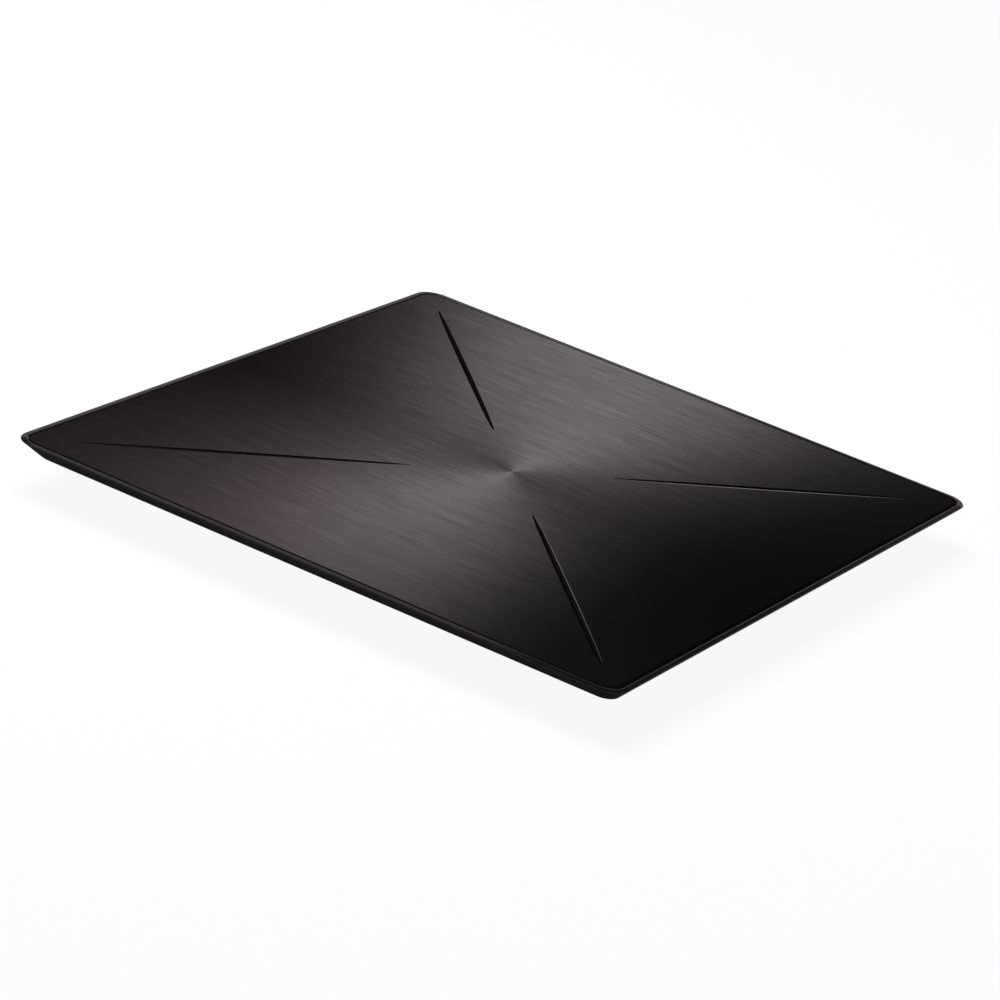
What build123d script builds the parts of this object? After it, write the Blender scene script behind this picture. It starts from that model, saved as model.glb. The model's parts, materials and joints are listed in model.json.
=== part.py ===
from build123d import *
import math
import os

os.makedirs("parts", exist_ok=True)

# Outline in plan, all sizes in millimetres
width = 336.0
depth = 283.0
corner_radius = 10.0
side_inset = 3.9
upper_corner_radius = 14.0

# Front frame: the crowned rim, the recess for the face and the plug that enters the cover
rim_edge = 0.1
rim_edge_break = 0.25
rim_fall = 0.25
rim_crest = 0.4
lip_width = 0.5
lip_fall = 0.2
frame_floor = 1.2
pocket_wall = 1.0
pocket_radius = 7.6
plug_clearance = 0.15

# Face plate, its tape and its four grooves
face_thickness = 1.0
face_recess = 0.2
face_edge_break = 0.15
seam_gap = 0.3
tape_thickness = 0.15
tape_margin = 6.0
groove_width = 2.8
groove_depth = 0.7
groove_bottom = 0.8
groove_knee = 2.05
groove_knee_height = 0.25
groove_start = 45.8
groove_margin = 24.4
cutter_overrun = 1.2
cutter_headroom = 0.7

# Rear cover: the thin slab under the face and the deeper pod behind it
cover_floor = 1.4
side_wall = 1.1
slab_cavity = 1.05
pod_width = 190.0
pod_depth = 116.0
pod_corner_radius = 14.0
pod_round = 2.0
pod_wall = 1.6
rib_height = 3.0
rib_thickness = 1.0
keyhole_diameter = 8.5
keyhole_slot_width = 4.2
keyhole_slot_run = 8.0
keyhole_pitch = 110.0
keyhole_height = 12.0

# Feet, and the cover screws that they hide
foot_diameter = 14.0
foot_proud = 1.5
foot_seat = 0.8
foot_inset = 15.0
foot_clearance = 0.2
boss_diameter = 10.0
boss_shelf = 2.0
post_diameter = 8.0
cover_screw_diameter = 3.0
cover_screw_length = 10.0
cover_head_diameter = 5.6
cover_head_height = 2.2
head_clearance = 0.4
hole_clearance = 0.2
thread_clearance = 0.05
pilot_spare = 1.0

# Coax jack on the board's lower edge
barrel_diameter = 9.525
barrel_reach = 9.5
collar_proud = 0.8
barrel_bore = 7.4
jack_block = 10.4
jack_block_length = 12.0
jack_clearance = 0.3
bore_into_block = 8.0
tail_setback = 2.5
insulator_recess = 1.0
insulator_clearance = 0.05
contact_diameter = 2.2
contact_bore = 1.2
contact_bore_depth = 9.0
contact_recess = 0.8
tail_width = 0.8
ground_pin_width = 1.2
ground_pin_pitch = 7.6
pin_proud = 0.6

# Matching board and what it carries
board_width = 36.0
board_thickness = 1.2
board_headroom = 3.45
board_past_feed = 8.0
board_post_diameter = 5.5
board_post_pitch = 28.0
board_post_setback = 22.0
board_screw_diameter = 2.0
board_screw_grip = 3.0
board_head_diameter = 3.8
board_head_height = 1.4
core_width = 13.0
core_height = 7.4
core_length = 10.0
core_bore = 3.6
core_bore_pitch = 6.0
wire_width = 0.9
wire_end_width = 0.6
wire_gap = 0.1
wire_turns = 3
wire_overhang = 0.6
wire_corner_cut = 0.6
chip_length = 3.2
chip_width = 1.6
chip_height = 1.2
chip_pitch_x = 16.0
chip_pitch_y = 5.0

# Radiators: bow-tie halves cut from sheet
sheet_thickness = 0.3
feed_gap = 24.0
feed_width = 4.0
apex_height = 12.0
radiator_side_margin = 18.0
radiator_end_margin = 36.5
radiator_strip = 14.0
radiator_corner_radius = 4.0
tab_past_board = 1.0
stake_width = 3.0
stake_head_width = 5.0
stake_head_height = 0.5
stake_head_taper = 30
stake_from_feed = 9.0

# Levels, stacked up from the surface that the feet stand on
pod_level = foot_proud
pod_floor_level = pod_level + pod_wall
jack_axis_level = pod_floor_level + jack_clearance + jack_block / 2
board_level = jack_axis_level + jack_block / 2
board_top_level = board_level + board_thickness
frame_level = board_top_level + board_headroom
pocket_level = frame_level + frame_floor
face_level = pocket_level + tape_thickness
face_top_level = face_level + face_thickness
rim_level = face_top_level + face_recess
slope_level = rim_level - rim_fall
parting_level = slope_level - rim_edge_break - rim_edge
cover_floor_level = frame_level - slab_cavity
slab_level = cover_floor_level - cover_floor
foot_seat_level = pod_level + foot_seat
head_seat_level = foot_seat_level + cover_head_height + head_clearance
boss_level = head_seat_level + boss_shelf

# Face size, from the frame's wall at the floor of its recess
side_height = parting_level - slab_level
pocket_lean = side_inset * (parting_level - pocket_level) / side_height
rim_width = side_wall + plug_clearance + pocket_lean + pocket_wall
crest_inset = rim_width - lip_width - rim_crest
pocket_width = width - 2 * rim_width
pocket_depth = depth - 2 * rim_width

# Places that several pieces share
foot_pitch_x = pod_width - 2 * foot_inset
foot_pitch_y = pod_depth - 2 * foot_inset
foot_places = GridLocations(foot_pitch_x, foot_pitch_y, 2, 2).locations
board_front = -(pod_depth / 2 - pod_wall - jack_clearance)
board_length = board_past_feed - board_front
block_back = board_front + jack_block_length
collar_tip = -(pod_depth / 2 + collar_proud)
barrel_tip = collar_tip - barrel_reach
bore_end = board_front + bore_into_block
tail_place = bore_end - tail_setback
board_post_row = board_front + board_post_setback
core_middle = (block_back - feed_width / 2) / 2
radiator_end = width / 2 - radiator_side_margin
radiator_height = depth - 2 * radiator_end_margin
stake_end = radiator_end - radiator_strip / 2
stake_near = feed_gap / 2 + stake_from_feed
ground_pin_row = board_front + jack_block_length / 2
wire_pitch = wire_width + wire_gap
wire_reach = core_length / 2 + wire_overhang
wire_ends = [(0, core_middle - wire_reach), (0, core_middle + wire_reach)]


def side_outline(level, shrink):
    """Outline of the undercut side at one level, drawn in by a wall or a clearance."""
    share = (parting_level - level) / side_height
    inset = side_inset * share + shrink
    upper_radius = corner_radius + (upper_corner_radius - corner_radius) * share - shrink
    with BuildSketch(Plane.XY.offset(level)) as outline:
        Rectangle(width - 2 * inset, depth - 2 * inset)
        fillet(outline.vertices().group_by(Axis.Y)[0], corner_radius - inset)
        fillet(outline.vertices().group_by(Axis.Y)[-1], upper_radius)
    return outline.sketch


def rim_outline(level, inset):
    """Outline of the rim at one level, drawn in from where it is widest."""
    with BuildSketch(Plane.XY.offset(level)) as outline:
        RectangleRounded(width - 2 * inset, depth - 2 * inset, corner_radius - inset)
    return outline.sketch


# Front frame: tapered plug, then the rim from its upright edge over a small break up its slope to the crest
with BuildPart() as front_frame:
    plug_shrink = side_wall + plug_clearance
    loft([side_outline(parting_level, plug_shrink), side_outline(frame_level, plug_shrink)], ruled=True)
    loft([rim_outline(parting_level, 0), rim_outline(parting_level + rim_edge, 0),
          rim_outline(slope_level, rim_edge_break), rim_outline(rim_level, crest_inset)], ruled=True)
    # Recess for the face, with a lip that falls towards it
    with BuildSketch(Plane.XY.offset(rim_level)):
        RectangleRounded(pocket_width, pocket_depth, pocket_radius)
    extrude(amount=pocket_level - rim_level, mode=Mode.SUBTRACT)
    crest = front_frame.faces().sort_by(Axis.Z)[-1]
    chamfer(crest.inner_wires()[0].edges(), lip_width, lip_fall, reference=crest)
    # Posts that meet the cover's bosses, with blind holes for its screws
    with BuildSketch(Plane.XY.offset(boss_level)):
        with Locations(*foot_places):
            Circle(post_diameter / 2)
    extrude(amount=frame_level - boss_level)
    with BuildSketch(Plane.XY.offset(boss_level)):
        with Locations(*foot_places):
            Circle(cover_screw_diameter / 2 + thread_clearance)
    extrude(amount=cover_screw_length - boss_shelf + pilot_spare, mode=Mode.SUBTRACT)
    # Posts for the matching board
    with BuildSketch(Plane.XY.offset(board_top_level)):
        with Locations((0, board_post_row)):
            with GridLocations(board_post_pitch, 0, 2, 1):
                Circle(board_post_diameter / 2)
                Circle(board_screw_diameter / 2 + thread_clearance, mode=Mode.SUBTRACT)
    extrude(amount=board_headroom)
    # Stakes through the radiators, with their heads pressed flat
    stake_places = [(side * place, 0) for side in (-1, 1) for place in (stake_near, stake_end)]
    with BuildSketch(Plane.XY.offset(frame_level - sheet_thickness)):
        with Locations(*stake_places):
            Rectangle(stake_width, stake_width)
    extrude(amount=sheet_thickness)
    with BuildSketch(Plane.XY.offset(frame_level - sheet_thickness)):
        with Locations(*stake_places):
            Rectangle(stake_head_width, stake_head_width)
    extrude(amount=-stake_head_height, taper=stake_head_taper)
front_frame.part.label = "front_frame"
export_step(front_frame.part, "parts/front_frame.step")

# Adhesive sheet under the face
with BuildPart() as face_tape:
    with BuildSketch(Plane.XY.offset(pocket_level)):
        RectangleRounded(pocket_width - 2 * tape_margin, pocket_depth - 2 * tape_margin, pocket_radius)
    extrude(amount=tape_thickness)
face_tape.part.label = "face_tape"
export_step(face_tape.part, "parts/face_tape.step")

# Cutter for one groove: a wide thin disc with a blunt rim, which cuts a slot that tapers to both ends
half_diagonal = math.hypot(pocket_width, pocket_depth) / 2
diagonal_angle = math.degrees(math.atan2(pocket_depth, pocket_width))
groove_length = half_diagonal - groove_start - groove_margin
groove_flare = (groove_width - groove_knee) / (groove_depth - groove_knee_height)
cutter_width = groove_width + groove_flare * cutter_headroom
cutter_radius = (groove_length ** 2 / 4 + groove_depth ** 2) / (2 * groove_depth)
cutter_half_angle = cutter_overrun * math.degrees(math.asin(groove_length / 2 / cutter_radius))
cutter_axis = Axis((0, 0, cutter_radius - groove_depth), (0, 1, 0))
cutter_rim = [(groove_bottom / 2, -groove_depth), (groove_knee / 2, groove_knee_height - groove_depth),
              (cutter_width / 2, cutter_headroom)]
with BuildPart(mode=Mode.PRIVATE) as groove_cutter:
    with BuildSketch(Plane.YZ):
        with BuildLine():
            Polyline(*cutter_rim, *[(-across, level) for across, level in reversed(cutter_rim)], close=True)
        make_face()
    revolve(axis=cutter_axis, revolution_arc=2 * cutter_half_angle)
groove_tool = groove_cutter.part.rotate(cutter_axis, -cutter_half_angle)

# Face plate: a flat plate with the four grooves on its diagonals
groove_middle = groove_start + groove_length / 2
with BuildPart() as face_plate:
    with BuildSketch(Plane.XY.offset(face_level)):
        RectangleRounded(pocket_width - 2 * seam_gap, pocket_depth - 2 * seam_gap, pocket_radius - seam_gap)
    extrude(amount=face_thickness)
    chamfer(face_plate.faces().sort_by(Axis.Z)[-1].edges(), face_edge_break)
    for turn in (diagonal_angle, 180 - diagonal_angle, 180 + diagonal_angle, -diagonal_angle):
        groove_x = groove_middle * math.cos(math.radians(turn))
        groove_y = groove_middle * math.sin(math.radians(turn))
        with Locations(Location((groove_x, groove_y, face_top_level), (0, 0, turn))):
            add(groove_tool, mode=Mode.SUBTRACT)
face_plate.part.label = "face_plate"
export_step(face_plate.part, "parts/face_plate.step")

# Rear cover: slab with its undercut side, pod, bosses, keyholes and the hole for the jack
with BuildPart() as rear_cover:
    loft([side_outline(parting_level, 0), side_outline(slab_level, 0)], ruled=True)
    with BuildSketch(Plane.XY.offset(pod_level)):
        RectangleRounded(pod_width, pod_depth, pod_corner_radius)
    extrude(amount=slab_level - pod_level)
    fillet(rear_cover.faces().sort_by(Axis.Z)[0].edges(), pod_round)
    loft([side_outline(parting_level, side_wall), side_outline(cover_floor_level, side_wall)], ruled=True,
         mode=Mode.SUBTRACT)
    with BuildSketch(Plane.XY.offset(pod_floor_level)):
        RectangleRounded(pod_width - 2 * pod_wall, pod_depth - 2 * pod_wall, pod_corner_radius - pod_wall)
    extrude(amount=cover_floor_level - pod_floor_level, mode=Mode.SUBTRACT)
    # Ribs that stiffen the pod's floor, from wall to wall through the bosses
    with BuildSketch(Plane.XY.offset(pod_floor_level)):
        with GridLocations(foot_pitch_x, 0, 2, 1):
            Rectangle(rib_thickness, pod_depth - pod_wall)
        with Locations((0, foot_pitch_y / 2)):
            Rectangle(pod_width - pod_wall, rib_thickness)
    extrude(amount=rib_height)
    # Bosses over the cover screws, then the seat of each foot and the stepped hole above it
    with BuildSketch(Plane.XY.offset(foot_seat_level)):
        with Locations(*foot_places):
            Circle(boss_diameter / 2)
    extrude(amount=boss_level - foot_seat_level)
    with Locations(*[place.position + Vector(0, 0, pod_level) for place in foot_places]):
        Cylinder(foot_diameter / 2 + foot_clearance, foot_seat,
                 align=(Align.CENTER, Align.CENTER, Align.MIN), mode=Mode.SUBTRACT)
        Cylinder(cover_head_diameter / 2 + head_clearance, head_seat_level - pod_level,
                 align=(Align.CENTER, Align.CENTER, Align.MIN), mode=Mode.SUBTRACT)
        Cylinder(cover_screw_diameter / 2 + hole_clearance, boss_level - pod_level,
                 align=(Align.CENTER, Align.CENTER, Align.MIN), mode=Mode.SUBTRACT)
    # Keyholes to hang it on two screws: the slot runs up from the entry hole
    with BuildSketch(Plane.XY.offset(pod_level)):
        with Locations((-keyhole_pitch / 2, keyhole_height), (keyhole_pitch / 2, keyhole_height)):
            Circle(keyhole_diameter / 2)
        with Locations((-keyhole_pitch / 2, keyhole_height + keyhole_slot_run / 2),
                       (keyhole_pitch / 2, keyhole_height + keyhole_slot_run / 2)):
            SlotCenterToCenter(keyhole_slot_run, keyhole_slot_width, rotation=90)
    extrude(amount=pod_wall, mode=Mode.SUBTRACT)
    # Hole for the jack's collar in the lower wall
    with BuildSketch(Plane.XZ.offset(pod_depth / 2 - pod_wall)):
        with Locations((0, jack_axis_level)):
            Circle(jack_block / 2 + hole_clearance)
    extrude(amount=pod_wall, mode=Mode.SUBTRACT)
rear_cover.part.label = "rear_cover"
export_step(rear_cover.part, "parts/rear_cover.step")

# Radiators: two bow-tie halves with a window, bent down to the board at their feed ends
stake_hole = stake_width + 2 * thread_clearance
for side, name in ((-1, "left_radiator"), (1, "right_radiator")):
    with BuildPart() as radiator:
        with BuildSketch(Plane.XY.offset(frame_level)) as blade:
            with BuildLine():
                Polyline((side * feed_gap / 2, -apex_height / 2), (side * radiator_end, -radiator_height / 2),
                         (side * radiator_end, radiator_height / 2), (side * feed_gap / 2, apex_height / 2),
                         close=True)
            make_face()
            offset(amount=-radiator_strip, mode=Mode.SUBTRACT)
            end_corners = blade.vertices().filter_by(lambda corner: abs(corner.X) > stake_end)
            fillet(end_corners, radiator_corner_radius)
            with Locations(*[place.position for place in foot_places if place.position.X * side > 0]):
                Circle(post_diameter / 2 + hole_clearance, mode=Mode.SUBTRACT)
            with Locations((side * stake_near, 0), (side * stake_end, 0)):
                Rectangle(stake_hole, stake_hole, mode=Mode.SUBTRACT)
        extrude(amount=-sheet_thickness)
        with BuildSketch(Plane.XY.offset(frame_level)):
            with Locations((side * (feed_gap + sheet_thickness) / 2, 0)):
                Rectangle(sheet_thickness, feed_width)
        extrude(amount=board_level - tab_past_board - frame_level)
    radiator.part.label = name
    export_step(radiator.part, f"parts/{name}.step")

# Matching board, with the holes for its screws, the feed tabs, the jack's pins and the winding's ends
feed_slot = sheet_thickness + 2 * hole_clearance
ground_hole = ground_pin_width + 2 * hole_clearance
tail_hole = tail_width + 2 * hole_clearance
wire_hole = wire_end_width + 2 * hole_clearance
with BuildPart() as matching_board:
    with BuildSketch(Plane.XY.offset(board_level)):
        with Locations((0, board_front + board_length / 2)):
            Rectangle(board_width, board_length)
        with Locations((0, board_post_row)):
            with GridLocations(board_post_pitch, 0, 2, 1):
                Circle(board_screw_diameter / 2 + hole_clearance, mode=Mode.SUBTRACT)
        with GridLocations(feed_gap + sheet_thickness, 0, 2, 1):
            Rectangle(feed_slot, feed_width + 2 * hole_clearance, mode=Mode.SUBTRACT)
        with Locations((0, ground_pin_row)):
            with GridLocations(ground_pin_pitch, 0, 2, 1):
                Rectangle(ground_hole, ground_hole, mode=Mode.SUBTRACT)
        with Locations((0, tail_place)):
            Rectangle(tail_hole, tail_hole, mode=Mode.SUBTRACT)
        with Locations(*wire_ends):
            Rectangle(wire_hole, wire_hole, mode=Mode.SUBTRACT)
    extrude(amount=board_thickness)
matching_board.part.label = "matching_board"
export_step(matching_board.part, "parts/matching_board.step")

# Two-hole ferrite core, flat against the board
core_axis_level = board_level - core_height / 2
with BuildPart() as balun_core:
    with BuildSketch(Plane.XZ.offset(-core_middle - core_length / 2)):
        with Locations((0, core_axis_level)):
            SlotOverall(core_width, core_height)
            with GridLocations(core_bore_pitch, 0, 2, 1):
                Circle(core_bore / 2, mode=Mode.SUBTRACT)
    extrude(amount=core_length)
balun_core.part.label = "balun_core"
export_step(balun_core.part, "parts/balun_core.step")

# Winding: turns of flat wire through both holes, the top one with its two ends up through the board
with BuildPart() as balun_winding:
    for turn_number in range(wire_turns):
        turn_level = core_axis_level + (turn_number - wire_turns / 2) * wire_pitch + wire_gap / 2
        with BuildSketch(Plane.XY.offset(turn_level)) as turn:
            with Locations((0, core_middle)):
                Rectangle(core_bore_pitch + wire_width, 2 * wire_reach + wire_width)
                chamfer(turn.vertices(), wire_corner_cut)
                Rectangle(core_bore_pitch - wire_width, 2 * wire_reach - wire_width, mode=Mode.SUBTRACT)
        extrude(amount=wire_width)
    with BuildSketch(Plane.XY.offset(turn_level + wire_width)):
        with Locations(*wire_ends):
            Rectangle(wire_end_width, wire_end_width)
    extrude(amount=board_top_level + pin_proud - turn_level - wire_width)
balun_winding.part.label = "balun_winding"
export_step(balun_winding.part, "parts/balun_winding.step")

# Chip capacitors of the matching network, on the board's underside between the feed and the core
chip_row = (core_middle + wire_reach) / 2
with BuildPart() as chip_capacitors:
    with BuildSketch(Plane.XY.offset(board_level)):
        with Locations((0, chip_row)):
            with GridLocations(chip_pitch_x, chip_pitch_y, 2, 2):
                Rectangle(chip_length, chip_width)
    extrude(amount=-chip_height)
chip_capacitors.part.label = "chip_capacitors"
export_step(chip_capacitors.part, "parts/chip_capacitors.step")

# Coax jack: block under the board, collar through the pod's lower wall, barrel outside it, two ground pins
with BuildPart() as coax_jack:
    with BuildSketch(Plane.XZ.offset(-block_back)):
        with Locations((0, jack_axis_level)):
            Rectangle(jack_block, jack_block)
    extrude(amount=jack_block_length)
    with BuildSketch(Plane.XZ.offset(-board_front)):
        with Locations((0, jack_axis_level)):
            Circle(jack_block / 2)
    extrude(amount=board_front - collar_tip)
    with BuildSketch(Plane.XZ.offset(-collar_tip)):
        with Locations((0, jack_axis_level)):
            Circle(barrel_diameter / 2)
    extrude(amount=barrel_reach)
    with BuildSketch(Plane.XZ.offset(-bore_end)):
        with Locations((0, jack_axis_level)):
            Circle(barrel_bore / 2)
    extrude(amount=bore_end - barrel_tip, mode=Mode.SUBTRACT)
    with BuildSketch(Plane.XY.offset(board_level)):
        with Locations((0, ground_pin_row)):
            with GridLocations(ground_pin_pitch, 0, 2, 1):
                Rectangle(ground_pin_width, ground_pin_width)
    extrude(amount=board_thickness + pin_proud)
    with BuildSketch(Plane.XY.offset(jack_axis_level)):
        with Locations((0, tail_place)):
            Rectangle(contact_diameter, contact_diameter)
    extrude(amount=jack_block / 2, mode=Mode.SUBTRACT)
coax_jack.part.label = "coax_jack"
export_step(coax_jack.part, "parts/coax_jack.step")

# Insulator in the barrel, with a channel for the contact and its tail
insulator_tip = barrel_tip + insulator_recess
contact_tip = insulator_tip + contact_recess
contact_end = tail_place + contact_diameter / 2
with BuildPart() as jack_insulator:
    with BuildSketch(Plane.XZ.offset(-bore_end)):
        with Locations((0, jack_axis_level)):
            Circle(barrel_bore / 2 - insulator_clearance)
    extrude(amount=bore_end - insulator_tip)
    with BuildSketch(Plane.XZ.offset(-contact_end)):
        with Locations((0, jack_axis_level)):
            Circle(contact_diameter / 2 + insulator_clearance)
    extrude(amount=contact_end - insulator_tip, mode=Mode.SUBTRACT)
    with BuildSketch(Plane.XY.offset(jack_axis_level)):
        with Locations((0, tail_place)):
            Rectangle(tail_hole, tail_hole)
    extrude(amount=barrel_bore / 2, mode=Mode.SUBTRACT)
jack_insulator.part.label = "jack_insulator"
export_step(jack_insulator.part, "parts/jack_insulator.step")

# Centre contact: a socket for the plug's wire, with its tail up to the board
with BuildPart() as jack_contact:
    with BuildSketch(Plane.XZ.offset(-contact_end)):
        with Locations((0, jack_axis_level)):
            Circle(contact_diameter / 2)
    extrude(amount=contact_end - contact_tip)
    with BuildSketch(Plane.XZ.offset(-contact_tip)):
        with Locations((0, jack_axis_level)):
            Circle(contact_bore / 2)
    extrude(amount=-contact_bore_depth, mode=Mode.SUBTRACT)
    with BuildSketch(Plane.XY.offset(jack_axis_level)):
        with Locations((0, tail_place)):
            Rectangle(tail_width, tail_width)
    extrude(amount=board_top_level + pin_proud - jack_axis_level)
jack_contact.part.label = "jack_contact"
export_step(jack_contact.part, "parts/jack_contact.step")

# Board screws, heads down
board_screw_length = board_thickness + board_screw_grip
with BuildPart() as board_screws:
    with BuildSketch(Plane.XY.offset(board_level)):
        with Locations((0, board_post_row)):
            with GridLocations(board_post_pitch, 0, 2, 1):
                Circle(board_head_diameter / 2)
    extrude(amount=-board_head_height)
    with BuildSketch(Plane.XY.offset(board_level)):
        with Locations((0, board_post_row)):
            with GridLocations(board_post_pitch, 0, 2, 1):
                Circle(board_screw_diameter / 2)
    extrude(amount=board_screw_length)
board_screws.part.label = "board_screws"
export_step(board_screws.part, "parts/board_screws.step")

# Cover screws, heads in the bosses under the feet
with BuildPart() as cover_screws:
    with BuildSketch(Plane.XY.offset(head_seat_level)):
        with Locations(*foot_places):
            Circle(cover_head_diameter / 2)
    extrude(amount=-cover_head_height)
    with BuildSketch(Plane.XY.offset(head_seat_level)):
        with Locations(*foot_places):
            Circle(cover_screw_diameter / 2)
    extrude(amount=cover_screw_length)
cover_screws.part.label = "cover_screws"
export_step(cover_screws.part, "parts/cover_screws.step")

# Rubber feet, one in each seat
foot_names = ["lower_left_foot", "upper_left_foot", "lower_right_foot", "upper_right_foot"]
for name, place in zip(foot_names, foot_places):
    with BuildPart() as foot:
        with BuildSketch(Plane.XY):
            with Locations(place):
                Circle(foot_diameter / 2)
        extrude(amount=foot_seat_level)
    foot.part.label = name
    export_step(foot.part, f"parts/{name}.step")
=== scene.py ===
import bpy
import json
import math
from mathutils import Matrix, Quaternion, Vector


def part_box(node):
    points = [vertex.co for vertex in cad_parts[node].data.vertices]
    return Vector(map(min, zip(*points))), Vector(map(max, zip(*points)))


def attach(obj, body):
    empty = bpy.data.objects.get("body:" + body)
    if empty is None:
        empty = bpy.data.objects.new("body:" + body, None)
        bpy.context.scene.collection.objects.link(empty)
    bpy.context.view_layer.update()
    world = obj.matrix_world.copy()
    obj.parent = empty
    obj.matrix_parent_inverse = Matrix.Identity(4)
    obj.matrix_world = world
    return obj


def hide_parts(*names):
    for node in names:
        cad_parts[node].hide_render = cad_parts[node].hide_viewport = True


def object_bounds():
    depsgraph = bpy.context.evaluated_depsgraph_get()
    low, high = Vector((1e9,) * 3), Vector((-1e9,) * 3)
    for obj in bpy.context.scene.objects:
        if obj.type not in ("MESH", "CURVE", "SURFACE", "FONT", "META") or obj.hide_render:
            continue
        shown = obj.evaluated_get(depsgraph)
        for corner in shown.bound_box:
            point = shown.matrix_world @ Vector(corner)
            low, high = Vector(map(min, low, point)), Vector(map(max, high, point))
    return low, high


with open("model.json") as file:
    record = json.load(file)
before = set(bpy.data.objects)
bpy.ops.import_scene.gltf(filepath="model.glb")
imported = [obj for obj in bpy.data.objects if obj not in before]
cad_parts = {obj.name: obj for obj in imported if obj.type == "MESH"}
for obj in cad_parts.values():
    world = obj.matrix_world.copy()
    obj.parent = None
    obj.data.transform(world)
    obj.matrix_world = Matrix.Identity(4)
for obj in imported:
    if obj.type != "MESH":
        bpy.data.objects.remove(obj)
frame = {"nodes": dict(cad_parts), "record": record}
cad_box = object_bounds()

# Front frame: the thin rim round the face, with a crowned top and a lip that falls to the recess.
# It is injection-moulded in smooth black plastic with a soft gloss.
# The cover's screws pull it onto the back.


class Signal:
    """A shader socket that Python operators work on: each operator adds a Math node."""

    def __init__(self, tree, socket=None):
        self.tree = tree
        self.socket = socket

    def node(self, kind, settings=None, inputs=None, output=0):
        """Adds a node of this kind, with its settings, then the values or links of its sockets."""
        made = self.tree.nodes.new(kind)
        for name, value in (settings or {}).items():
            if name == "stops":
                for place, _ in value[len(made.color_ramp.elements):]:
                    made.color_ramp.elements.new(place)
                for element, (place, colour) in zip(made.color_ramp.elements, value):
                    element.position = place
                    element.color = colour
            else:
                setattr(made, name, value)
        for name, value in (inputs or {}).items():
            if isinstance(value, Signal):
                self.tree.links.new(value.socket, made.inputs[name])
            else:
                made.inputs[name].default_value = value
        return Signal(self.tree, made.outputs[output])

    def maths(self, operation, first, second=0.0, clamp=False):
        """Adds a Math node between two values."""
        settings = {"operation": operation, "use_clamp": clamp}
        return self.node("ShaderNodeMath", settings, {0: first, 1: second})

    def __add__(self, other):
        return self.maths("ADD", self, other)

    def __radd__(self, other):
        return self.maths("ADD", other, self)

    def __sub__(self, other):
        return self.maths("SUBTRACT", self, other)

    def __rsub__(self, other):
        return self.maths("SUBTRACT", other, self)

    def __mul__(self, other):
        return self.maths("MULTIPLY", self, other)

    def __rmul__(self, other):
        return self.maths("MULTIPLY", other, self)

    def __truediv__(self, other):
        return self.maths("DIVIDE", self, other)

    def __rtruediv__(self, other):
        return self.maths("DIVIDE", other, self)

    def __pow__(self, other):
        return self.maths("POWER", self, other)

    def __rpow__(self, other):
        return self.maths("POWER", other, self)

    def __abs__(self):
        return self.maths("ABSOLUTE", self)

    def clamped(self):
        """This value, held between 0 and 1."""
        return self.maths("ADD", self, 0.0, clamp=True)

    def at_least(self, other):
        """This value, or the other where that is more."""
        return self.maths("MAXIMUM", self, other)

    def between(self, least, most):
        """A value that this share moves from the least to the most."""
        return least + (most - least) * self

    def axis(self, name):
        """One axis of a vector."""
        return self.node("ShaderNodeSeparateXYZ", None, {"Vector": self}, name)

    def noise(self, cell, detail=2.0, roughness=0.5):
        """Smooth noise about 0.5 at this place, with cells of these sizes in metres along X, Y and Z."""
        scale = tuple(1.0 / size for size in cell)
        scaled_place = self.node("ShaderNodeMapping", None, {"Vector": self, "Scale": scale})
        inputs = {"Vector": scaled_place, "Scale": 1.0, "Detail": detail, "Roughness": roughness}
        return self.node("ShaderNodeTexNoise", None, inputs, "Fac")

    def mix(self, first, second):
        """A colour between two colours, by this share, through the Mix node's colour sockets."""
        first_socket, second_socket, result_socket = 6, 7, 2
        inputs = {"Factor": self, first_socket: first, second_socket: second}
        return self.node("ShaderNodeMix", {"data_type": "RGBA"}, inputs, result_socket)

    def bump(self, height):
        """A normal from this relief, which is so many metres high."""
        return self.node("ShaderNodeBump", None, {"Height": self, "Distance": height}, "Normal")


def new_finish(name, **constants):
    """A material with its shader's constants set, and the place on the piece in metres."""
    material = bpy.data.materials.new(name)
    material.use_nodes = True
    shader = material.node_tree.nodes["Principled BSDF"]
    for socket, value in constants.items():
        shader.inputs[socket.replace("_", " ")].default_value = value
    place = Signal(material.node_tree).node("ShaderNodeTexCoord", output="Object")
    return material, shader, place


def feed(shader, **signals):
    """Links what changes over the surface to the shader."""
    tree = shader.id_data
    for socket, signal in signals.items():
        tree.links.new(signal.socket, shader.inputs[socket.replace("_", " ")])


def dress(material, *node_names):
    """Gives CAD nodes this material."""
    for node_name in node_names:
        for slot in frame["nodes"][node_name].material_slots:
            slot.material = material


frame_black = (0.0046, 0.0043, 0.0041, 1)
frame_worn = (0.0066, 0.0061, 0.0058, 1)
frame_cloud_cell = (0.03, 0.03, 0.03)
frame_grain_cell = (0.0004, 0.0004, 0.0004)
frame_grain_height = 0.000002
frame_roughness = (0.09, 0.12)
frame_grain_roughness = 0.02
frame_moulding, frame_shader, frame_place = new_finish("smooth_frame_moulding")
frame_cloud = frame_place.noise(frame_cloud_cell)
frame_grain = frame_place.noise(frame_grain_cell, detail=1.0)
feed(frame_shader, Base_Color=frame_cloud.mix(frame_black, frame_worn),
     Roughness=frame_cloud.between(*frame_roughness) + frame_grain_roughness * frame_grain,
     Normal=frame_grain.bump(frame_grain_height))
dress(frame_moulding, "front_frame")

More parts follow.
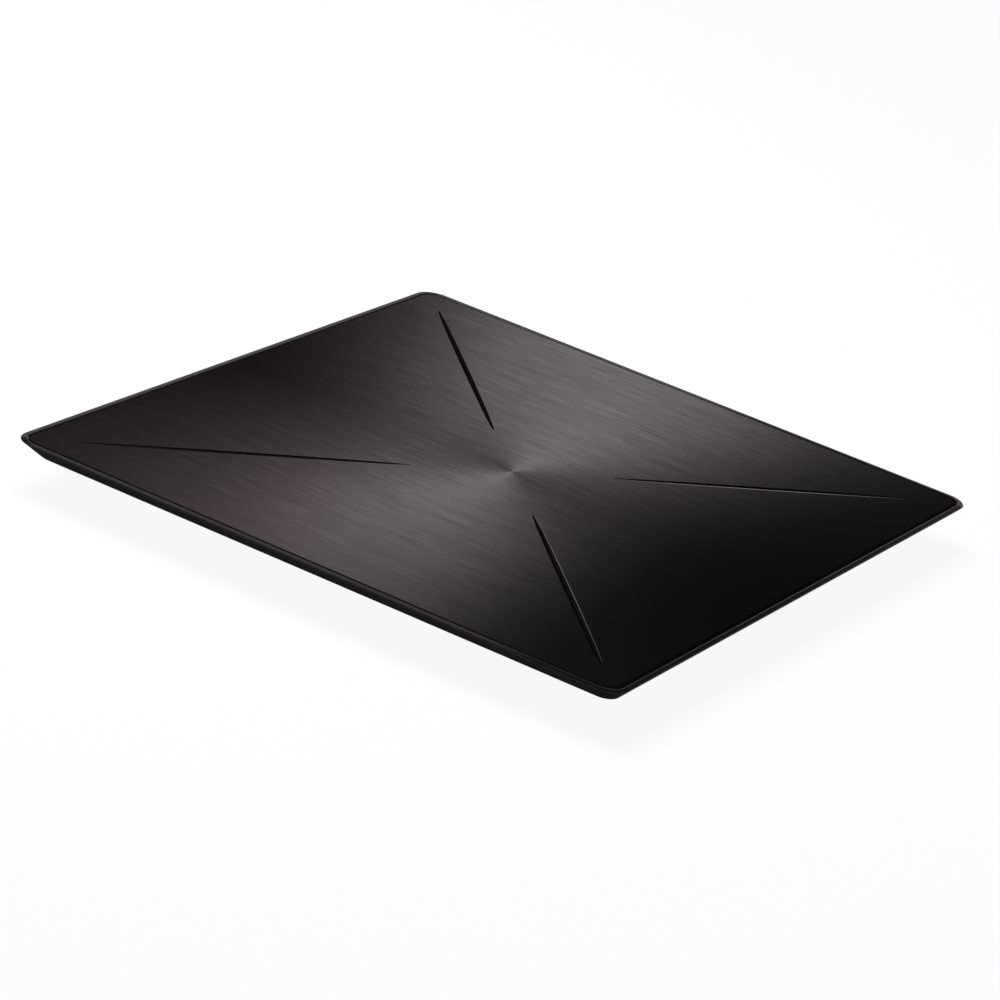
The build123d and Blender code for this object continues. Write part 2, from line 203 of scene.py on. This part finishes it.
# Adhesive sheet: a thin double-sided tape that holds the face in the frame's recess.
# It is a cream foam film, die-cut a little smaller than the face.
tape_cream = (0.55, 0.53, 0.44, 1)
tape_dull = (0.45, 0.43, 0.35, 1)
tape_cell = (0.0006, 0.0006, 0.0006)
tape_roughness = (0.6, 0.8)
tape_film, tape_shader, tape_place = new_finish("adhesive_film")
tape_foam = tape_place.noise(tape_cell)
feed(tape_shader, Base_Color=tape_foam.mix(tape_dull, tape_cream),
     Roughness=tape_foam.between(*tape_roughness))
dress(tape_film, "face_tape")

# Face plate: a thin plate under a dark metallised film, brushed in straight strokes along its short side.
# Its colour carries a painted sheen in a slanting band across the middle, which fades to black below it and
# to a dark brown above it. Four grooves are cut through it on the diagonals.
face_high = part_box("face_plate")[1]
film_black = (0.0088, 0.0088, 0.0088, 1)
film_brown = (0.0114, 0.0088, 0.0082, 1)
painted_sheen_silver = (0.194, 0.190, 0.1825, 1)
painted_sheen_warm = (0.215, 0.190, 0.178, 1)
film_roughness = 0.60
film_stroke_roughness = 0.12
brushed_film, film_shader, film_place = new_finish(
    "brushed_dark_film", Metallic=1.0, Anisotropic=0.40, Anisotropic_Rotation=0.25,
    Specular_Tint=(0.5, 0.5, 0.5, 1))
film_x = film_place.axis("X")
film_y = film_place.axis("Y")
film_z = film_place.axis("Z")
reach_x = abs(film_x)
reach_y = abs(film_y)

# The painted sheen band's middle line and its strength along the face, then how far it spreads above and
# below that line
band_middle = 0.038
band_tilt = 0.261
sheen_peak = 0.735
sheen_rise = 2.353
sheen_dim = 1.479
band_above = 0.0427
band_above_spread = 4.84
band_above_lean = 3.28
band_above_power = 1.5
band_below = 0.0901
band_below_spread = 0.688
band_below_lean = 2.46
band_below_power = 3
off_middle = film_y - band_middle - band_tilt * film_x
spread_above = band_above * (1.0 + band_above_spread * reach_x - band_above_lean * film_x)
spread_below = band_below * (1.0 + band_below_spread * reach_x + band_below_lean * film_x)
above = off_middle.at_least(0.0) / spread_above
below = (0.0 - off_middle).at_least(0.0) / spread_below
# Painted sheen: how strongly the painted highlight lifts the film's colour at each place
sheen_fade = 1.0 / math.e ** (above ** band_above_power + below ** band_below_power)
painted_sheen = sheen_peak * (1.0 + sheen_rise * film_x - sheen_dim * reach_x) * sheen_fade

# Brushing: fine strokes that come and go in patches, over broader streaks
patch_cell = (0.030, 0.045, 1.0)
stroke_cell = (0.0018, 0.024, 1.0)
streak_cell = (0.0060, 0.080, 1.0)
stroke_depth = 0.8
streak_depth = 0.32
brushing_height = 0.000006
noise_middle = 0.5
patches = film_place.noise(patch_cell) / noise_middle
strokes = film_place.noise(stroke_cell, detail=3.0, roughness=0.6) - noise_middle
streaks = film_place.noise(streak_cell) - noise_middle
brushing = stroke_depth * patches * strokes + streak_depth * streaks

# Warm side: above a slanting line the film turns from neutral to brownish
warm_line = 0.038
warm_tilt = 0.37
warm_fade = 0.036
warmth = ((film_y - warm_tilt * film_x - warm_line) / warm_fade).clamped()
# The film's own black and brown, lifted to silver and warm grey by the painted sheen, with the brushing in
# it
film_and_sheen_colour = (painted_sheen * (1.0 + brushing)).clamped().mix(
    warmth.mix(film_black, film_brown), warmth.mix(painted_sheen_silver, painted_sheen_warm))

# Grooves: black inside, and on the lower two a painted highlight as a bright line along one edge, stronger
# on the right
groove_start = 0.0458
groove_end = 0.1911
groove_depth = 0.0007
groove_knee_height = 0.00025
groove_bottom = 0.0008
groove_knee = 0.00205
groove_width = 0.0028
groove_and_seam_shade_black = (0.0043, 0.0039, 0.0033, 1)
groove_fade = 0.00003
highlight_line_width = 0.0005
painted_edge_highlight = (0.72, 0.70, 0.67, 1)
highlight_left_share = 0.4
knee_share = groove_knee_height / groove_depth
groove_half_length = (groove_end - groove_start) / 2
groove_middle = (groove_start + groove_end) / 2
diagonal = math.atan2(face_high.y, face_high.x)
along = reach_x * math.cos(diagonal) + reach_y * math.sin(diagonal) - groove_middle
across = reach_y * math.cos(diagonal) - reach_x * math.sin(diagonal)
cut_share = (1.0 - along * along / groove_half_length ** 2).at_least(0.0)
below_knee = (groove_knee - groove_bottom) * (cut_share / knee_share).clamped()
above_knee = (groove_width - groove_knee) * ((cut_share - knee_share) / (1.0 - knee_share)).at_least(0.0)
half_width = (groove_bottom + below_knee + above_knee) / 2
# Painted highlight: a bright line along one edge of the two lower grooves, stronger on the right
highlight_line = (1.0 - (across - half_width) / highlight_line_width).clamped() * (across / highlight_line_width).clamped()
lower_half = (0.0 - film_y / groove_width).clamped()
right_half = (film_x / groove_width).clamped()
edge_highlight_share = highlight_line * cut_share * lower_half * right_half.between(highlight_left_share, 1.0)
in_groove = ((face_high.z - film_z) / groove_fade).clamped()

# Painted seam shade: a dark line round the plate's edge, set a little off the plate's middle so it is wider
# along the -X and -Y edges
seam_shade_width = 0.0009
seam_shade_fade = 0.0002
seam_shade_shift_x = 0.0003
seam_shade_shift_y = 0.0008
plate_radius = 0.0073
past_x = (abs(film_x - seam_shade_shift_x) - (face_high.x - plate_radius)).at_least(0.0)
past_y = (abs(film_y - seam_shade_shift_y) - (face_high.y - plate_radius)).at_least(0.0)
past_edge = (past_x ** 2 + past_y ** 2) ** 0.5 - plate_radius
painted_seam_shade = ((past_edge + seam_shade_width) / seam_shade_fade).clamped()
# The film's colour with the painted edge highlight laid on it
film_sheen_and_highlight_colour = edge_highlight_share.mix(film_and_sheen_colour, painted_edge_highlight)
# Black in the grooves, and the same black as painted shade along the seam round the plate
feed(film_shader, Base_Color=(in_groove + painted_seam_shade).clamped().mix(film_sheen_and_highlight_colour, groove_and_seam_shade_black),
     Roughness=film_roughness + film_stroke_roughness * strokes,
     Normal=(strokes + streaks).bump(brushing_height))
dress(brushed_film, "face_plate")

# Radiators: the two halves of the bow-tie aerial, staked to the frame's underside.
# They are stamped from thin bright sheet, with rolling marks along its length.
sheet_bright = (0.78, 0.78, 0.76, 1)
sheet_dull = (0.62, 0.62, 0.61, 1)
rolling_cell = (0.06, 0.0004, 0.06)
sheet_roughness = (0.25, 0.45)
rolled_sheet, sheet_shader, sheet_place = new_finish("rolled_sheet", Metallic=1.0)
rolling = sheet_place.noise(rolling_cell, detail=3.0)
feed(sheet_shader, Base_Color=rolling.mix(sheet_dull, sheet_bright),
     Roughness=rolling.between(*sheet_roughness))
dress(rolled_sheet, "left_radiator", "right_radiator")

# Matching board: a small glass-fibre board between the radiators' tabs and the jack.
# A green mask covers it, a little darker where the laminate's weave shows through.
mask_green = (0.03, 0.14, 0.05, 1)
mask_deep = (0.02, 0.09, 0.035, 1)
warp_cell = (0.0008, 0.004, 0.001)
weft_cell = (0.004, 0.0008, 0.001)
mask_roughness = (0.3, 0.45)
board_mask, board_shader, board_place = new_finish("green_board")
weave = (board_place.noise(warp_cell) + board_place.noise(weft_cell)) / 2
feed(board_shader, Base_Color=weave.mix(mask_deep, mask_green), Roughness=weave.between(*mask_roughness))
dress(board_mask, "matching_board")

# Chip capacitors: four small ceramic blocks soldered under the board.
# Each is brown ceramic, pressed and fired.
chip_brown = (0.20, 0.12, 0.07, 1)
chip_pale = (0.28, 0.18, 0.11, 1)
chip_cell = (0.0003, 0.0003, 0.0003)
chip_roughness = (0.45, 0.65)
chip_ceramic, chip_shader, chip_place = new_finish("chip_ceramic")
chip_grain = chip_place.noise(chip_cell)
feed(chip_shader, Base_Color=chip_grain.mix(chip_brown, chip_pale),
     Roughness=chip_grain.between(*chip_roughness))
dress(chip_ceramic, "chip_capacitors")

# Balun core: a block of ferrite with two holes, glued under the board.
# It is sintered, so it is dark grey with a fine open grain.
ferrite_dark = (0.03, 0.03, 0.032, 1)
ferrite_pale = (0.07, 0.07, 0.072, 1)
ferrite_cell = (0.0002, 0.0002, 0.0002)
ferrite_grain_height = 0.00002
ferrite_roughness = (0.5, 0.8)
sintered_ferrite, ferrite_shader, ferrite_place = new_finish("sintered_ferrite")
ferrite_grain = ferrite_place.noise(ferrite_cell, detail=3.0)
feed(ferrite_shader, Base_Color=ferrite_grain.mix(ferrite_dark, ferrite_pale),
     Roughness=ferrite_grain.between(*ferrite_roughness), Normal=ferrite_grain.bump(ferrite_grain_height))
dress(sintered_ferrite, "balun_core")

# Balun winding: three turns of flat copper wire through the core, with their ends up through the board.
# Clear enamel makes the copper look reddish brown.
enamel_red = (0.42, 0.13, 0.05, 1)
enamel_gold = (0.58, 0.24, 0.09, 1)
drawn_cell = (0.0003, 0.004, 0.0003)
wire_roughness = (0.22, 0.37)
enamelled_copper, wire_shader, wire_place = new_finish("enamelled_copper", Metallic=0.9)
drawn_marks = wire_place.noise(drawn_cell)
feed(wire_shader, Base_Color=drawn_marks.mix(enamel_red, enamel_gold),
     Roughness=drawn_marks.between(*wire_roughness))
dress(enamelled_copper, "balun_winding")

# Coax jack: a block under the board, with a collar through the back's wall and a threaded barrel outside it.
# It is turned from brass and plated with bright nickel, and two square pins solder it to the board.
jack_low, jack_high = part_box("coax_jack")
jack_mount = next(mount for mount in frame["record"]["mounts"] if mount["name"] == "coax_barrel")
jack_axis = Vector((0, 0, jack_mount["pos_m"][2]))
barrel_radius = jack_mount["dims"]["r_mm"] / 1000
barrel_tip = jack_low.y
barrel_root = barrel_tip + jack_mount["dims"]["length_mm"] / 1000
block_half = jack_high.x
block_length = 0.012
block_front = jack_high.y - block_length
block_middle = block_front + block_length / 2
block_top = jack_axis.z + block_half
block_bevel = 0.0005
inch = 0.0254
threads_per_inch = 32
thread_pitch = inch / threads_per_inch
depth_per_pitch = 0.61343
crest_per_pitch = 0.125
thread_depth = depth_per_pitch * thread_pitch
thread_crest = crest_per_pitch * thread_pitch
thread_flank_angle = math.radians(30)
thread_flank = thread_depth * math.tan(thread_flank_angle)
thread_steps = 64
thread_spare_turns = 2
weld_distance = 0.00001
lead_in = 0.0006
bore_radius = 0.0037
bore_into_block = 0.008
bore_end = block_front + bore_into_block
pin_width = 0.0012
pin_pitch = 0.0076
tail_hole = 0.0022
tail_setback = 0.0025
tail_y = bore_end - tail_setback
jack_smooth_angle = math.radians(25)


def add_cylinder(radius, start, end):
    """A closed cylinder along the jack's axis, from one place on Y to another."""
    bpy.ops.object.select_all(action="DESELECT")
    middle = jack_axis + Vector((0, (start + end) / 2, 0))
    bpy.ops.mesh.primitive_cylinder_add(vertices=thread_steps, radius=radius, depth=abs(end - start),
                                        location=middle, rotation=(math.pi / 2, 0, 0))
    bpy.ops.object.transform_apply(location=True, rotation=True, scale=True)
    return bpy.context.object


def add_block(low, high):
    """A closed block between two corners."""
    bpy.ops.object.select_all(action="DESELECT")
    bpy.ops.mesh.primitive_cube_add(size=1, location=(Vector(low) + Vector(high)) / 2)
    bpy.context.object.scale = Vector(high) - Vector(low)
    bpy.ops.object.transform_apply(location=True, rotation=True, scale=True)
    return bpy.context.object


def pick(piece):
    """Selects one piece alone and makes it active."""
    bpy.ops.object.select_all(action="DESELECT")
    piece.select_set(True)
    bpy.context.view_layer.objects.active = piece


def bevel_edges(piece, width, wanted):
    """Bevels the edges of a piece whose two ends both answer to wanted."""
    pick(piece)
    bpy.ops.object.mode_set(mode="EDIT")
    bpy.ops.mesh.select_mode(type="EDGE")
    bpy.ops.mesh.select_all(action="DESELECT")
    bpy.ops.object.mode_set(mode="OBJECT")
    for edge in piece.data.edges:
        edge.select = all(wanted(piece.data.vertices[corner].co) for corner in edge.vertices)
    bpy.ops.object.mode_set(mode="EDIT")
    bpy.ops.mesh.bevel(offset=width, segments=1)
    bpy.ops.object.mode_set(mode="OBJECT")


def combine(piece, other, operation):
    """Joins, cuts or intersects a piece with another, which is used up."""
    pick(piece)
    cutter = piece.modifiers.new(operation.lower(), "BOOLEAN")
    cutter.operation = operation
    cutter.solver = "EXACT"
    cutter.object = other
    bpy.ops.object.modifier_apply(modifier=cutter.name)
    bpy.data.objects.remove(other, do_unlink=True)


# Thread: one tooth of its profile, as radius and place along the barrel, screwed round past both ends
root_radius = barrel_radius - thread_depth
tooth = [(root_radius, 0), (barrel_radius, thread_flank), (barrel_radius, thread_flank + thread_crest),
         (root_radius, 2 * thread_flank + thread_crest), (root_radius, thread_pitch)]
bpy.ops.object.select_all(action="DESELECT")
bpy.ops.mesh.primitive_plane_add(size=1, location=(0, 0, 0))
jack = bpy.context.object
jack.name = "threaded_jack"
bpy.ops.object.mode_set(mode="EDIT")
bpy.ops.mesh.select_all(action="SELECT")
bpy.ops.mesh.merge(type="CENTER")
for (tooth_radius, tooth_place), (last_radius, last_place) in zip(tooth[1:], tooth):
    bpy.ops.mesh.extrude_region_move(
        TRANSFORM_OT_translate={"value": (tooth_radius - last_radius, tooth_place - last_place, 0)})
bpy.ops.mesh.select_all(action="SELECT")
bpy.ops.transform.translate(value=(root_radius, barrel_tip - thread_spare_turns * thread_pitch, 0))
bpy.ops.object.mode_set(mode="OBJECT")
winding = jack.modifiers.new("winding", "SCREW")
winding.axis = "Y"
winding.angle = 2 * math.pi
winding.screw_offset = thread_pitch
winding.iterations = math.ceil((barrel_root - barrel_tip) / thread_pitch) + 2 * thread_spare_turns
winding.steps = thread_steps
winding.render_steps = thread_steps
winding.use_merge_vertices = True
winding.merge_threshold = weld_distance
bpy.ops.object.modifier_apply(modifier="winding")
bpy.ops.object.mode_set(mode="EDIT")
bpy.ops.mesh.select_all(action="SELECT")
bpy.ops.mesh.remove_doubles(threshold=weld_distance)
for cut_y, side in ((barrel_tip - thread_pitch / 2, -1), (barrel_root + thread_pitch / 2, 1)):
    bpy.ops.mesh.select_all(action="SELECT")
    bpy.ops.mesh.bisect(plane_co=(0, cut_y, 0), plane_no=(0, side, 0), use_fill=True, clear_outer=True)
bpy.ops.mesh.select_all(action="SELECT")
bpy.ops.mesh.normals_make_consistent(inside=False)
bpy.ops.transform.translate(value=jack_axis)
bpy.ops.object.mode_set(mode="OBJECT")

# The barrel with its lead-in trims the thread, then the block, collar and pins join it and the holes are cut
barrel = add_cylinder(barrel_radius + weld_distance, barrel_tip, barrel_root)
bevel_edges(barrel, lead_in, lambda corner: corner.y < barrel_tip + lead_in)
combine(jack, barrel, "INTERSECT")
block = add_block((-block_half, block_front, jack_axis.z - block_half), (block_half, jack_high.y, block_top))
bevel_edges(block, block_bevel, lambda corner: True)
collar = add_cylinder(block_half, block_middle, barrel_root)
bevel_edges(collar, block_bevel / 2, lambda corner: corner.y < barrel_root + block_bevel)
combine(block, collar, "UNION")
combine(jack, block, "UNION")
for side in (-1, 1):
    pin_x = side * pin_pitch / 2
    pin = add_block((pin_x - pin_width / 2, block_middle - pin_width / 2, jack_axis.z + bore_radius),
                    (pin_x + pin_width / 2, block_middle + pin_width / 2, jack_high.z))
    combine(jack, pin, "UNION")
bore = add_cylinder(bore_radius, barrel_tip - lead_in, bore_end)
combine(jack, bore, "DIFFERENCE")
tail_slot = add_block((-tail_hole / 2, tail_y - tail_hole / 2, jack_axis.z),
                      (tail_hole / 2, tail_y + tail_hole / 2, block_top + block_bevel))
combine(jack, tail_slot, "DIFFERENCE")
pick(jack)
bpy.ops.object.shade_smooth_by_angle(angle=jack_smooth_angle)
nickel_bright = (0.72, 0.70, 0.65, 1)
nickel_dull = (0.55, 0.53, 0.49, 1)
smudge_cell = (0.003, 0.003, 0.003)
nickel_roughness = (0.16, 0.36)
nickel_plate, nickel_shader, nickel_place = new_finish("nickel_plate", Metallic=1.0)
smudges = nickel_place.noise(smudge_cell, detail=3.0)
feed(nickel_shader, Base_Color=smudges.mix(nickel_dull, nickel_bright),
     Roughness=smudges.between(*nickel_roughness))
jack.data.materials.clear()
jack.data.materials.append(nickel_plate)
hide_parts("coax_jack")
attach(jack, "root")

# Jack insulator: the white sleeve in the barrel that keeps the contact in its middle.
# It is moulded in one piece and pushed in from the front.
insulator_white = (0.78, 0.77, 0.72, 1)
insulator_warm = (0.70, 0.68, 0.62, 1)
insulator_cell = (0.002, 0.002, 0.002)
insulator_roughness = (0.4, 0.55)
white_insulator, insulator_shader, insulator_place = new_finish("white_insulator")
insulator_cloud = insulator_place.noise(insulator_cell)
feed(insulator_shader, Base_Color=insulator_cloud.mix(insulator_warm, insulator_white),
     Roughness=insulator_cloud.between(*insulator_roughness))
dress(white_insulator, "jack_insulator")

# Jack contact: the socket that takes the plug's wire, with a tail up to the board.
# It is bare brass, held in the insulator.
brass_yellow = (0.72, 0.50, 0.20, 1)
brass_dull = (0.52, 0.35, 0.15, 1)
brass_cell = (0.0003, 0.002, 0.0003)
brass_roughness = (0.2, 0.4)
contact_brass, brass_shader, brass_place = new_finish("contact_brass", Metallic=1.0)
brass_marks = brass_place.noise(brass_cell)
feed(brass_shader, Base_Color=brass_marks.mix(brass_dull, brass_yellow),
     Roughness=brass_marks.between(*brass_roughness))
dress(contact_brass, "jack_contact")

# Screws: two that hold the board and four that hold the back, under its feet.
# They are zinc-plated steel.
zinc_bright = (0.55, 0.55, 0.54, 1)
zinc_dull = (0.40, 0.40, 0.41, 1)
zinc_cell = (0.0006, 0.0006, 0.0006)
zinc_roughness = (0.28, 0.48)
zinc_steel, zinc_shader, zinc_place = new_finish("zinc_steel", Metallic=1.0)
zinc_marks = zinc_place.noise(zinc_cell, detail=3.0)
feed(zinc_shader, Base_Color=zinc_marks.mix(zinc_dull, zinc_bright),
     Roughness=zinc_marks.between(*zinc_roughness))
dress(zinc_steel, "board_screws", "cover_screws")

# Rear cover: the moulded back, with the undercut side below the rim and the pod that holds the board.
# It is black plastic with the fine spark-eroded grain of its mould.
cover_black = (0.0041, 0.0037, 0.0034, 1)
cover_grey = (0.0066, 0.0060, 0.0055, 1)
cover_grain_cell = (0.00035, 0.00035, 0.00035)
cover_cloud_cell = (0.05, 0.05, 0.05)
cover_grain_share = 0.6
cover_grain_height = 0.00003
cover_roughness = (0.60, 0.75)
grained_cover, cover_shader, cover_place = new_finish("grained_cover", Specular_IOR_Level=0.02)
cover_grain = cover_place.noise(cover_grain_cell, detail=3.0, roughness=0.6)
cover_cloud = cover_place.noise(cover_cloud_cell)
cover_tone = cover_grain_share * cover_grain + (1.0 - cover_grain_share) * cover_cloud
feed(cover_shader, Base_Color=cover_tone.mix(cover_black, cover_grey),
     Roughness=cover_grain.between(*cover_roughness), Normal=cover_grain.bump(cover_grain_height))
dress(grained_cover, "rear_cover")

# Feet: four discs in seats in the pod's floor, over the cover's screws.
# They are black rubber with a little dust, stuck in after the screws are driven.
rubber_black = (0.014, 0.014, 0.014, 1)
rubber_dusty = (0.030, 0.030, 0.029, 1)
rubber_cell = (0.0015, 0.0015, 0.0015)
rubber_grain_height = 0.00005
rubber_roughness = (0.75, 0.90)
foot_rubber, rubber_shader, rubber_place = new_finish("foot_rubber", Specular_IOR_Level=0.3)
rubber_dust = rubber_place.noise(rubber_cell, detail=3.0)
feed(rubber_shader, Base_Color=rubber_dust.mix(rubber_black, rubber_dusty),
     Roughness=rubber_dust.between(*rubber_roughness), Normal=rubber_dust.bump(rubber_grain_height))
dress(foot_rubber, "lower_left_foot", "upper_left_foot", "lower_right_foot", "upper_right_foot")

# Floor: a plain white sheet under the antenna.
# The camera and mirror rays see it nearly white, with a small share of its own shading for the soft shadow.
floor_size = 14.0
floor_white = (0.86, 0.86, 0.86, 1)
floor_glow = (1, 1, 1, 1)
floor_glow_share = 0.93
bpy.ops.object.select_all(action="DESELECT")
bpy.ops.mesh.primitive_plane_add(size=floor_size, location=(0, 0, 0))
floor = bpy.context.object
floor.name = "floor"
floor_sheet, floor_shader, floor_place = new_finish(
    "white_floor", Base_Color=floor_white, Roughness=0.9, Specular_IOR_Level=0.1)
camera_ray, glossy_ray, transmission_ray = (
    floor_place.node("ShaderNodeLightPath", output=f"Is {ray} Ray")
    for ray in ("Camera", "Glossy", "Transmission"))
glow_share = (camera_ray + glossy_ray + transmission_ray).clamped() * floor_glow_share
floor_tree = floor_sheet.node_tree
lit = Signal(floor_tree, floor_shader.outputs["BSDF"])
glow = floor_place.node("ShaderNodeEmission", None, {"Color": floor_glow, "Strength": 1.0})
surface = floor_place.node("ShaderNodeMixShader", None, {0: glow_share, 1: lit, 2: glow})
floor_tree.links.new(surface.socket, floor_tree.nodes["Material Output"].inputs["Surface"])
floor.data.materials.append(floor_sheet)

# Light: a large soft box above the antenna, and three weak strips that the frame mirrors: one draws the rim
# on the near left, and two the lip on the far sides. The surroundings are a dim warm grey, with a paler band
# above the horizon that the crest and the far rims mirror.
scene = bpy.context.scene
scene.view_settings.view_transform = "Standard"
surroundings = bpy.data.worlds.new("surroundings")
surroundings.use_nodes = True
scene.world = surroundings
sky_tint = (1.03, 1.0, 0.975)
sky_levels = [(0.0, 0.03), (0.075, 0.05), (0.12, 0.24), (0.24, 0.28), (0.31, 0.40), (0.365, 0.40),
              (0.40, 0.02), (0.60, 0.03), (1.0, 0.06)]
sky_stops = [(place, (*(level * tint for tint in sky_tint), 1)) for place, level in sky_levels]
sky_height = Signal(surroundings.node_tree).node("ShaderNodeTexCoord", output="Generated").axis("Z")
sky_colour = sky_height.node("ShaderNodeValToRGB", {"stops": sky_stops}, {"Fac": sky_height})
background = surroundings.node_tree.nodes["Background"]
surroundings.node_tree.links.new(sky_colour.socket, background.inputs["Color"])


def add_lamp(name, place, aim, width, length, power, colour):
    """A flat lamp with its power in watts, turned to light one place."""
    lamp_data = bpy.data.lights.new(name, "AREA")
    lamp_data.shape = "RECTANGLE"
    lamp_data.size = width
    lamp_data.size_y = length
    lamp_data.energy = power
    lamp_data.color = colour
    lamp = bpy.data.objects.new(name, lamp_data)
    lamp.location = place
    lamp.rotation_euler = (aim - place).to_track_quat("-Z", "Y").to_euler()
    scene.collection.objects.link(lamp)


lamp_white = (1, 1, 1)
lamp_warm = (1.0, 0.91, 0.845)
straight_down = Vector((0, 0, -1))
face_middle = Vector((0, 0, face_high.z))
near_left_rim = Vector((cad_box[0].x, 0, face_high.z))
soft_box_place = Vector((0.09, 0.58, 1.44))
right_lip_place = Vector((0.73, 0.613, 1.17))
left_lip_place = Vector((0.825, 0.235, 0.577))
rim_place = Vector((0.648, 0.560, 0.720))
add_lamp("soft_box", soft_box_place, face_middle,
         width=0.8, length=0.8, power=26.0, colour=lamp_white)
add_lamp("right_lip_strip", right_lip_place, right_lip_place + straight_down,
         width=0.14, length=0.293, power=0.20, colour=lamp_white)
add_lamp("left_lip_strip", left_lip_place, left_lip_place + straight_down,
         width=0.46, length=0.08, power=0.026, colour=lamp_warm)
add_lamp("rim_strip", rim_place, near_left_rim,
         width=0.36, length=0.20, power=0.083, colour=lamp_warm)

# Camera: a long lens from the left and in front, turned a little about its own axis.
# It looks down on the antenna, which lies on its back, from about 21 degrees above the floor.
camera_place = Vector((-1.611184, -0.747016, 0.679775))
camera_aim = Vector((-0.034421, -0.013241, 0.020978))
camera_roll = math.radians(13.105)
camera_sensor = 36.0
camera_lens = 162.3
camera_data = bpy.data.cameras.new("camera")
camera_data.sensor_width = camera_sensor
camera_data.lens = camera_lens
camera = bpy.data.objects.new("camera", camera_data)
camera.location = camera_place
camera.rotation_mode = "QUATERNION"
level_view = (camera_aim - camera_place).to_track_quat("-Z", "Y")
camera.rotation_quaternion = level_view @ Quaternion((0, 0, 1), camera_roll)
scene.collection.objects.link(camera)
scene.camera = camera
